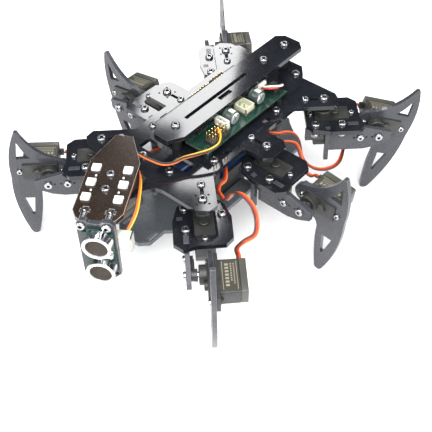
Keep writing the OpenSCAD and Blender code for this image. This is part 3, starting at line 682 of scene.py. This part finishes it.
def put_jst(P, x0, y0, x1, y1, h, mat, n=4, along="x"):
    """Open-topped plug header with its pins."""
    w = 0.9
    P.add(bm_box((x0, y0, Z), (x1, y1, Z + 1.4)), I4, mat, bevel=0.15)
    for lo, hi in (((x0, y0), (x1, y0 + w)), ((x0, y1 - w), (x1, y1)), ((x0, y0), (x0 + w, y1)), ((x1 - w, y0), (x1, y1))):
        P.add(bm_box((lo[0], lo[1], Z), (hi[0], hi[1], Z + h)), I4, mat, bevel=0.2)
    for i in range(n):
        t = (i + 0.5) / n
        x = x0 + (x1 - x0) * (t if along == "x" else 0.5)
        y = y0 + (y1 - y0) * (0.5 if along == "x" else t)
        P.add(bm_box((x - 0.32, y - 0.32, Z + 1), (x + 0.32, y + 0.32, Z + h - 0.6)), I4, M_TIN)


for x in (2.5, -23):
    put_can_cap(P, x)
put_jst(P, -38, -2, -29, 11, 6.6, M_WHITE, 4, "y")
put_jst(P, -16.5, 9, -7.5, 19, 5.0, M_CREAM, 3, "y")
put_jst(P, 7.5, 9, 11.5, 19, 6.0, M_WHITE, 4, "y")
put_pins(P, 13.5, 15.9, 6, 3)
put_pins(P, -29, -19.2, 5, 2, h=4.4)
put_pins(P, -14.5, -18.0, 8, 2, h=4.4)
put_chip(P, -5, -6, 10, 10, 1.6, 10)
put_chip(P, 21, -8, 11, 7.6, 1.8, 8, (1, 0))
put_chip(P, 21, 4.5, 6.5, 5.2, 1.6, 4, (1, 0))
put_chip(P, -22, -8, 5.2, 4.4, 1.5, 4, (1, 0))
P.add(bm_prism(rrect(8.2, -11.8, 11.4, -2.2, 1.5), Z, Z + 3.4), I4, M_RIM, bevel=0.3)
P.add(bm_box((-41, 13, Z), (-35.4, 20, Z + 4.6)), I4, M_CHIP, bevel=0.4)
P.add(bm_lathe([(0, 0), (1.9, 0), (1.9, 2.3), (1.6, 2.5), (0, 2.5)], 28), T(-38.2, 16.5, Z + 4.4), M_SHADE_FILL)
for i in range(10):
    x = -12 + 3.6 * i
    for y in (1.4 if i % 2 else 2.4, -13.2 if i % 3 else -12.2):
        P.add(bm_box((x - 0.55, y - 0.4, Z), (x + 0.55, y + 0.4, Z + 0.55)), I4, M_TIN if i % 2 else M_CHIP, bevel=0.06, seg=1)
        P.add(bm_box((x - 0.95, y - 0.45, Z), (x - 0.5, y + 0.45, Z + 0.4)), I4, M_TIN)
        P.add(bm_box((x + 0.5, y - 0.45, Z), (x + 0.95, y + 0.45, Z + 0.4)), I4, M_TIN)
P.done("chassis", "connector", ["board_parts"])

# battery holder with two cells
P = Piece("battery_holder")
z0 = -41
P.add(bm_box((-38, -21, z0), (38, 21, z0 + 1.5)), I4, M_TRAY, bevel=0.3)
for lo, hi in (((-38, -21), (38, -19.4)), ((-38, 19.4), (38, 21)), ((-38, -21), (-36, 21)), ((36, -21), (38, 21))):
    P.add(bm_box((lo[0], lo[1], z0), (hi[0], hi[1], z0 + 15)), I4, M_TRAY, bevel=0.35)
P.add(bm_box((-36, -0.45, z0 + 1), (36, 0.45, z0 + 8)), I4, M_TRAY, bevel=0.2)
for s in (1, -1):
    M = T(-33 if s > 0 else 33, 9.65 * s, z0 + 10.8) @ RY(90 if s > 0 else -90)
    P.add(bm_lathe([(0, 0.1), (8.4, 0.1), (9.0, 0.35), (9.2, 0.9), (9.2, 62.8), (8.9, 63.5), (8.4, 63.8), (6.0, 63.8)], 56), M, M_WRAP)
    P.add(bm_lathe([(6.1, 63.75), (6.0, 63.4), (3.1, 63.4), (3.0, 65.6), (2.6, 65.9), (0, 66)], 40), M, M_TIN)
    for e in (-36, 35):
        P.add(bm_box((e, 9.65 * s - 5, z0 + 5), (e + 0.7, 9.65 * s + 5, z0 + 14.6)), I4, M_TIN, bevel=0.15)
    coil = [(33.2 * (1 if s < 0 else -1) + (1 if s < 0 else -1) * 2.4 * t / 40, 9.65 * s + (4.2 - 2.2 * t / 40) * math.cos(t * 0.62), z0 + 10.8 + (4.2 - 2.2 * t / 40) * math.sin(t * 0.62)) for t in range(41)]
    pa, _ = smooth_path(coil, 0.9)
    tg, sd = path_frames(pa, (1, 0, 0))
    P.add(bm_tube(pa, tg, sd, r=0.35, n=8), I4, M_TIN)
P.done("chassis", "battery_case", ["battery_pack"])

# ---------------------------------------------------------------- chassis leads
bundle = [(17, 17, 12), (20.5, 22.4, 12), (26, 26, 11), (32, 25.2, 10), (40, 20.5, 9), (47, 15.5, 8), (53, 13.2, 7.3), (58, 9.5, 7.6), (61.2, 2, 9), (63.5, -7, 10.6)]


def head_m():
    return T(90.5, 0, 0) @ RZ(31.5)


HM_ = head_m()
head_run = [(-27, 4.5, 11), (-19, 9, 10.8), (-8, 14.5, 9.8), (6, 17, 8.5), (18, 17.5, 5.8), (25, 15.2, 1.6), (27.7, 14, 0.3)]
head_pts = [tuple(HM_ @ Vector(p)) for p in head_run]

P = Piece("sensor_bundle")
pa, total = smooth_path(bundle + head_pts)
tg, sd = path_frames(pa, (0, 0, 1))
# three wires laid together, each twisting slowly round the others
for i, m in enumerate((M_YELLOW, M_ORANGE, M_BLACKW)):
    bmw = bmesh.new()
    rows, n, r = [], 9, 0.55
    for j, (p, t, s) in enumerate(zip(pa, tg, sd)):
        u = t.cross(s).normalized()
        a = 2 * math.pi * (i / 3) + j * 0.045
        c = p + (s * math.cos(a) + u * math.sin(a)) * 0.66
        rows.append([bmw.verts.new(c + (s * math.cos(2 * math.pi * q / n) + u * math.sin(2 * math.pi * q / n)) * r) for q in range(n)])
    for a_, b_ in zip(rows, rows[1:]):
        for q in range(n):
            w = (q + 1) % n
            bmw.faces.new((a_[q], a_[w], b_[w], b_[q]))
    bmw.faces.new(list(reversed(rows[0])))
    bmw.faces.new(rows[-1])
    bmesh.ops.recalc_face_normals(bmw, faces=bmw.faces)
    P.add(bmw, I4, m)
ob = P.done(None, "lead", ["sensor_lead"])
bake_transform(ob)

STUBS = {
    "front_right": [(-49, -1, -11), (-34, -3.5, -15), (-28, -5.5, -19.5), (-23, -5.5, -23), (-18.6, -5.5, -25)],
    "middle_right": [(-52, -5.5, -11), (-36, -5.5, -14), (-28, -5.5, -19.2), (-23, -5.5, -23), (-18.6, -5.5, -25)],
    "rear_right": [(-52, -4.5, -11), (-36, -5.5, -14), (-28, -5.5, -19.5), (-23, -5.5, -23), (-18.6, -5.5, -25)],
}
for k in LEGS:
    if k in STUBS:
        M = hip_m(k)
        pts = [tuple(M @ Vector(p)) for p in STUBS[k]]
    elif k == "front_left":
        M = hip_m(k)
        pts = [(12, 15, -8), (20, 24, -9.5)] + [tuple(M @ Vector(p)) for p in [(-27.5, -15, -11.8), (-24, -11.5, -12.4), (-18.2, -10.2, -12.2)]]
    elif k == "middle_left":
        pts = [(12, 14, -8), (2, 19, -13), (-9, 24, -16), (-14, 30.5, -15.8), (-19.6, 34.3, -15)]
    else:
        pts = [(14, 16, -7), (0, 17, -7.5), (-14, 23, -8.2), (-18.5, 29.5, -8.6), (-22.4, 33.2, -9.6)]
    first = leg_m(k) @ Vector(RUNS[k][0])
    pts = pts + [tuple(first)]
    n_dir = (leg_m(k).to_3x3() @ Vector((0, 1, 0))).normalized()
    P, path, total = ribbon("hip_side_lead_" + k, pts, n_dir, n_dir)
    ob = P.done(None, "lead")
    if k == "front_left":
        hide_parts("lead_harness")
    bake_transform(ob)

# battery plug in its header, and its three wires down through the rear window
P = Piece("battery_plug")
P.add(bm_box((-36.6, 3.6, 8.2), (-30.4, 12.4, 13.4)), I4, M_WHITE, bevel=0.35)
for q in range(3):
    P.add(bm_box((-36.2 + 2.1 * q, 4.4, 13.3), (-34.9 + 2.1 * q, 9.0, 13.6)), I4, M_CREAM, bevel=0.1, seg=1)
    # dark discs for the plug holes: painted shade
    P.add(bm_lathe([(0, 0), (0.85, 0), (0.85, 0.25), (0, 0.25)], 20), T(-35.4 + 1.9 * q, 12.35, 11) @ RX(-90), M_SHADE_FILL)
P.done("chassis", "connector")
for name, m, pts in (
        ("battery_wire_red", M_RED, [(-31.6, 12.5, 11), (-32, 17, 12.6), (-36, 20.8, 12.6), (-42, 19.4, 10.5), (-46.5, 15.6, 6), (-46.2, 13.2, -2), (-43, 12, -14), (-40.2, 10.4, -23), (-38.5, 9.6, -28)]),
        ("battery_wire_white", M_WHITEW, [(-33.5, 12.5, 11), (-34, 18, 13.7), (-39, 22, 13.2), (-45, 19, 9), (-48, 14.6, 4), (-47.5, 11.5, -3), (-44, 9.8, -15), (-40.4, 8, -24), (-38.5, 7.4, -28)]),
        ("battery_wire_black", M_BLACKW, [(-35.4, 12.5, 11), (-36.6, 15.6, 11.8), (-41, 16, 10.8), (-46, 13, 7), (-47.8, 10.4, 2), (-46.4, 9, -4), (-43.4, 7.5, -15), (-40.2, 6, -24), (-38.5, 5.2, -28)])):
    pa, total = smooth_path(pts)
    tg, sd = path_frames(pa, (0, 1, 0.3))
    P = Piece(name)
    P.add(bm_tube(pa, tg, sd, r=0.65, n=12), I4, m)
    ob = P.done("chassis", "lead")

# ---------------------------------------------------------------- head
dress("head_plate", M_BROWN, M_EDGE_LIT_H, 0.25)
dress("sensor_plate", M_GREY, M_EDGE_LIT_G)

P = Piece("head_joint_horn")
put_horn(P, T(90.5, 0, 2.5) @ RZ(31.5 + 180), 9, 10, 11.5)
P.done("head", "black_horn")

P = Piece("head_fasteners")
put_screw(P, HM_ @ T(0, 0, 17), 6.5, r=0.95, hr=2.6)
put_screw(P, HM_ @ T(PITCH, 0, 17), 5.4, r=0.85, hr=2.6)
for s in (1, -1):
    put_screw(P, HM_ @ T(39.5, 7.2 * s, 15.5) @ RY(90), 12, hh=1.4, thread=True)
    put_nut(P, HM_ @ T(28.4, 7.2 * s, 15.5) @ RY(90), 2.2)
P.done("head", "steel", ["head_horn"])

P = Piece("led_packages")
for x in (-4, 8, 19.8):
    for s in (1, -1):
        M = HM_ @ T(x, 9.3 * s, 17)
        P.add(bm_prism([(-2.5, -2.5), (2.5, -2.5), (2.5, 1.6), (1.6, 2.5), (-2.5, 2.5)], 0.05, 1.6), M, M_LED, bevel=0.16)
        P.add(bm_rings([("c", 2.15, 1.55), ("c", 2.05, 1.68), ("c", 1.9, 1.66), ("c", 1.85, 1.5)], 32), M, M_LED)
        P.add(bm_lathe([(0, 1.53), (1.0, 1.53), (1.9, 1.55), (1.9, 1.52)], 32), M, M_LENS)
        for px in (-1.6, 0, 1.6):
            for sy in (-1, 1):
                P.add(bm_box((px - 0.4, sy * 2.55 - 0.2, 0), (px + 0.4, sy * 2.55 + 0.2, 0.5)), M, M_TIN)
for x in (2.2, 14):
    for s in (1, -1):
        M = HM_ @ T(x, 8 * s, 17)
        P.add(bm_box((-0.7, -0.5, 0), (0.7, 0.5, 0.55)), M, M_LED, bevel=0.08, seg=1)
        for e in (-1, 1):
            P.add(bm_box((e * 0.72 - 0.16, -0.5, 0), (e * 0.72 + 0.16, 0.5, 0.6)), M, M_TIN)
P.done("head", "led_white", ["head_leds"])

P = Piece("sensor_board_assembly")
out = [(-6.8, -22.5), (10.6, -22.5), (10.6, 11.6), (7.6, 11.6), (7.2, 11.0), (3.9, 15.1), (-3.9, 15.1), (-7.2, 11.0), (-6.8, 9.0)]
out = [(-6.8, -18.5), (-4.6, -18.5), (-4.6, -22.5), (6.6, -22.5), (6.6, -18.5), (10.6, -18.5), (10.6, 12.2), (3.9, 12.2), (3.9, 15.1), (-3.9, 15.1), (-3.9, 12.2), (-6.8, 12.2)]
BM = HM_ @ T(39.5, 0, 0) @ RZ(90) @ RX(90)
P.add(bm_prism(out, 0.02, 1.5), BM, M_PCB, bevel=0.1, seg=1)
for y in range(-6, 11, 3):
    for z in (-3.4, -2.0, 14.0 - 15.2):
        P.add(bm_box((y - 0.5, z - 0.3, 1.5), (y + 0.5, z + 0.3, 2.0)), BM, M_TIN, bevel=0.05, seg=1)
P.add(bm_box((-5.6, -5.2, 1.5), (-1.6, -1.2, 2.6)), BM, M_CHIP, bevel=0.12)
P.add(bm_prism(rrect(4.4, -5.4, 9.6, -3.4, 0.9), 1.5, 3.6), BM, M_RIM, bevel=0.2)
# four-way plug and its housing behind the plate
JM = HM_ @ T(28.5, 9, -5)
P.add(bm_box((1.6, 0, 0), (8.0, 10, 1.1)), JM, M_WHITE, bevel=0.2)
P.add(bm_box((1.6, 0, 8.9), (8.0, 10, 10)), JM, M_WHITE, bevel=0.2)
P.add(bm_box((1.6, 0, 0), (8.0, 1.1, 10)), JM, M_WHITE, bevel=0.2)
P.add(bm_box((1.6, 8.9, 0), (8.0, 10, 10)), JM, M_WHITE, bevel=0.2)
P.add(bm_box((6.6, 0.2, 0.2), (8.0, 9.8, 9.8)), JM, M_WHITE, bevel=0.2)
P.add(bm_box((0.0, 1.5, 1.5), (6.4, 8.5, 8.5)), JM, M_CREAM, bevel=0.3)
for i in range(4):
    # dark slots for the plug holes: painted shade
    P.add(bm_box((-0.02, 2.1 + i * 1.6, 4.3), (0.3, 3.1 + i * 1.6, 5.7)), JM, M_SHADE_FILL)
    P.add(bm_box((0.6, 2.1 + i * 1.6, 8.3), (4.4, 3.1 + i * 1.6, 8.75)), JM, M_CREAM, bevel=0.1, seg=1)
P.done("head", "circuit_board", ["sensor_board"])

P = Piece("transducer_cans")
for z in (6.8, -13.7):
    M = HM_ @ T(41, 2.6, z) @ RY(90)
    P.add(bm_lathe([(6.2, 0.3), (7.7, 0.3), (7.9, 0.1), (8.05, 0.25), (8.05, 5.6), (8.2, 5.9), (8.2, 6.25)], 72), M, M_ALU)
    P.add(bm_lathe([(8.2, 6.25), (8.1, 6.6), (7.8, 6.8), (6.9, 6.8), (6.5, 6.65), (6.35, 6.2), (6.35, 5.7)], 72), M, M_RIM)
    P.add(bm_lathe([(6.36, 6.1), (6.36, 4.0), (6.3, 3.9)], 72), M, M_ALU)
    P.add(bm_lathe([(6.36, 4.0), (6.0, 3.2), (3.2, 3.0), (2.8, 3.6), (1.2, 4.3), (0, 4.4)], 48), M, M_CONE)
    P.add(bm_lathe([(0, 2.9), (6.3, 2.9), (6.3, 3.3)], 48), M, M_CONE)
    wires = 13
    for i in range(wires):
        o_ = (i - (wires - 1) / 2) * 0.92
        h = math.sqrt(max(0.0, 6.36 ** 2 - o_ ** 2))
        if h < 1:
            continue
        for q in (0, 90):
            zz = 5.15 + (0.12 if q else -0.12)
            path = [Vector((o_, -h + 2 * h * t / 12, zz + 0.12 * (1 if (t + i) % 2 else -1))) for t in range(13)]
            tg, sd = path_frames(path, (1, 0, 0))
            P.add(bm_tube(path, tg, sd, r=0.17, n=6), M @ RZ(q), M_MESH)
P.done("head", "can_aluminium", ["transducers"])

# ---------------------------------------------------------------- floor, light, camera
bpy.ops.mesh.primitive_plane_add(size=6.0, location=(0, 0, 0.0))
floor = bpy.context.object
floor.name = "floor"
fm, nt, b = new_mat("floor_paper")
v = coords(nt)
nt.links.new(mix(nt, noise(nt, v, 6.0), (0.93, 0.93, 0.93), (0.96, 0.96, 0.96)), b.inputs["Base Color"])
b.inputs["Roughness"].default_value = 0.85
b.inputs["Specular IOR Level"].default_value = 0.1
bump(nt, b, noise(nt, v, 400.0), 0.02)
floor.data.materials.append(fm)

world = bpy.data.worlds.new("studio")
bpy.context.scene.world = world
world.use_nodes = True
world.node_tree.nodes["Background"].inputs[0].default_value = (0.90, 0.95, 1.0, 1)
world.node_tree.nodes["Background"].inputs[1].default_value = 0.10


def area(name, loc, target, size, power, sizey=None, color=(1, 1, 1)):
    d = bpy.data.lights.new(name, "AREA")
    d.energy = power
    d.color = color
    d.shape = "RECTANGLE" if sizey else "SQUARE"
    d.size = size
    if sizey:
        d.size_y = sizey
    ob_ = bpy.data.objects.new(name, d)
    bpy.context.scene.collection.objects.link(ob_)
    ob_.location = loc
    ob_.rotation_euler = (Vector(target) - Vector(loc)).to_track_quat("-Z", "Y").to_euler()
    return ob_


# big soft key above the camera's side, fills left and right, none of them where a level plate would mirror it
area("key", (0.75, 0.65, 1.25), (0, 0, 0.03), 0.9, 34)
area("left", (-0.35, 1.35, 0.95), (0, 0, 0.03), 0.8, 17)
area("right", (1.2, -0.55, 0.9), (0, 0, 0.03), 0.8, 15)
area("overhead", (0.15, 0.15, 1.9), (0, 0, 0), 0.9, 24)
# strip box mirrored by the level plates: a bright wedge over the cover's front, the front left and the middle right arm
au, av = Vector((0.826, 0.565, 0)), Vector((0.565, -0.826, 0))
for q, (b0, b1, a1) in enumerate(((9, 18, 120), (18, 36, 92), (36, 54, 51), (54, 72, 34))):
    a0 = -78
    mid = Vector((-34, 0, 0)) + au * ((a0 + a1) / 2) + av * ((b0 + b1) / 2)
    loc = row((2.728 * mid.x - 540, 2.728 * mid.y - 478.7, 600))
    sx, sy = 2.728 * (a1 - a0) * MM, 2.728 * (b1 - b0) * MM
    strip = area("strip_%d" % q, loc, loc - Vector((0, 0, 1)), sx, 13.5 * math.pi * sx * sy, sy)
    strip.matrix_world = Matrix(((au.x, -av.x, 0, loc.x), (au.y, -av.y, 0, loc.y), (0, 0, 1, loc.z), (0, 0, 0, 1)))

# camera: fitted to the picture, +X to the head, tilt as measured
back = Vector((0.51541, 0.45981, 0.72314)).normalized()
right = Vector((-0.65024, 0.75947, -0.01945))
right = (right - back * right.dot(back)).normalized()
up = back.cross(right)
C = Vector((0.30219, 0.27755, 0.43032))
cam = bpy.data.cameras.new("camera")
cam.sensor_width = 36
cam.lens = 70.595
cam.clip_start = 0.01
cam.clip_end = 20
co = bpy.data.objects.new("camera", cam)
bpy.context.scene.collection.objects.link(co)
co.matrix_world = Matrix(((right.x, up.x, back.x, C.x), (right.y, up.y, back.y, C.y), (right.z, up.z, back.z, C.z), (0, 0, 0, 1)))
bpy.context.scene.camera = co
bpy.context.scene.view_settings.view_transform = "Standard"
bpy.context.scene.view_settings.look = "None"
